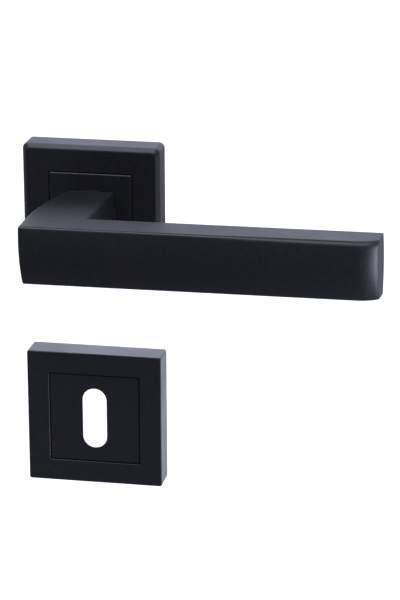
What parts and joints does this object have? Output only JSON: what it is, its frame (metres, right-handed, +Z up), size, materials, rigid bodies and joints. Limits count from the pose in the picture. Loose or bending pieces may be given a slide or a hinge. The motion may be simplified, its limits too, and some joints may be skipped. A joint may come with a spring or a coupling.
{
  "type": "lever door handle with key escutcheon",
  "caption": "Angular matte black lever handle on a square rose, with a separate square key escutcheon that has an upright oval keyhole; the lever turns down against a spring.",
  "frame": {"origin": "the spindle axis where it meets the face of the door", "axes": "+X toward the free end of the lever, +Y into the door, +Z up"},
  "size_m": [0.1348, 0.1189, 0.128],
  "materials": {
    "powder_black": "matte powder coat",
    "zinc": "as cast",
    "steel": "bright zinc plated",
    "spring_steel": "oiled",
    "nylon": "black, graphite filled"
  },
  "bodies": {
    "lever": {"lever_handle": "powder_black", "grub_screw": "steel", "spindle": "steel", "spring_driver": "spring_steel", "thrust_washer": "steel", "retaining_ring": "spring_steel"},
    "trim": {"neck_bush": "nylon", "lever_rose_insert": "powder_black", "lever_rose_cover": "powder_black", "lever_rose_base": "zinc", "bearing_bush": "nylon", "return_spring": "spring_steel", "stop_pin": "steel", "spring_anchor_pin": "steel", "lever_bolt_sleeves": "steel", "lever_wood_screws": "steel", "lever_cover_clips": "spring_steel", "key_rose_insert": "powder_black", "key_rose_cover": "powder_black", "key_rose_base": "zinc", "key_bolt_sleeves": "steel", "key_wood_screws": "steel", "key_cover_clips": "spring_steel"}
  },
  "joints": [
    {"name": "lever_turn", "type": "hinge", "parent": "trim", "child": "lever", "pos_m": [0, 0, 0], "axis": [0, 1, 0], "range_deg": [0, 45], "stiffness_Nm_per_rad": 1, "springref_deg": -34.38, "deforming": ["return_spring"]}
  ]
}
